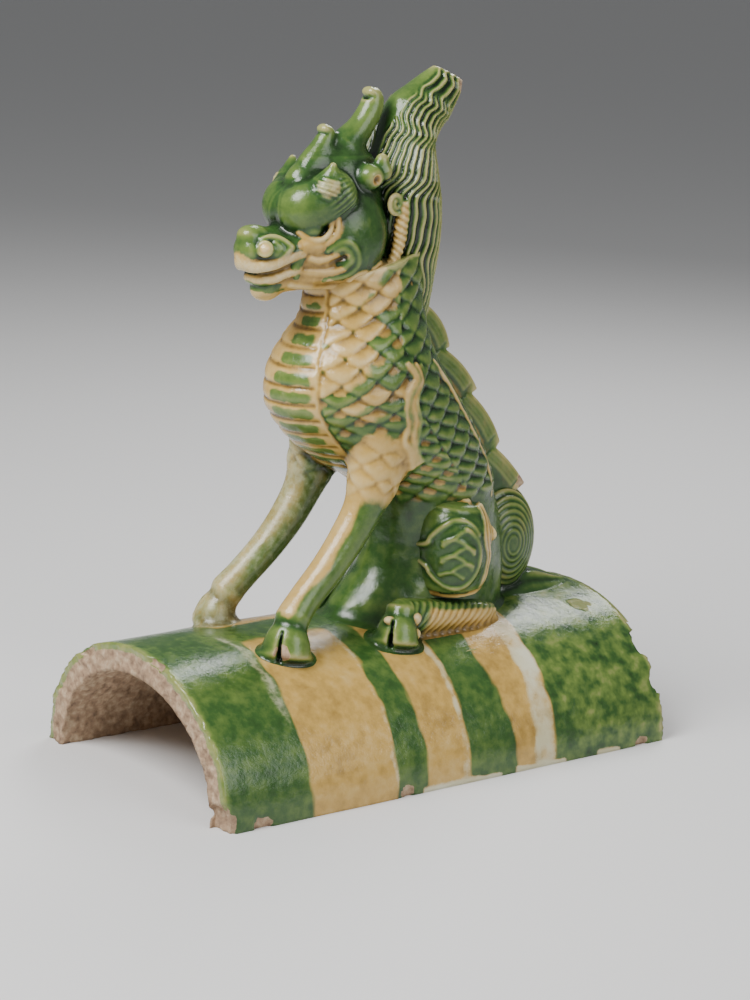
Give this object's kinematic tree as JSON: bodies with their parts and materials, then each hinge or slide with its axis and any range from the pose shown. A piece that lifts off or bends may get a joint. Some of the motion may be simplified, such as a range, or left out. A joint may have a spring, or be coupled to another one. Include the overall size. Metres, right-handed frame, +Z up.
{
  "type": "ridge tile with seated guardian beast",
  "caption": "Half-round glazed ridge tile with a seated, scaled and cloven-hoofed guardian beast fired on its crown, facing along the ridge.",
  "frame": {"origin": "on the ground plane, at the middle of the tile's footprint", "axes": "+Z up; the beast faces -Y along the tile's axis, its left side is +X; +Y runs towards the tile's rear end"},
  "size_m": [0.16, 0.267, 0.3342],
  "materials": {
    "lead_glazed_stoneware": "glossy"
  },
  "bodies": {
    "root": {"ridge_beast_tile": "lead_glazed_stoneware"}
  },
  "joints": []
}
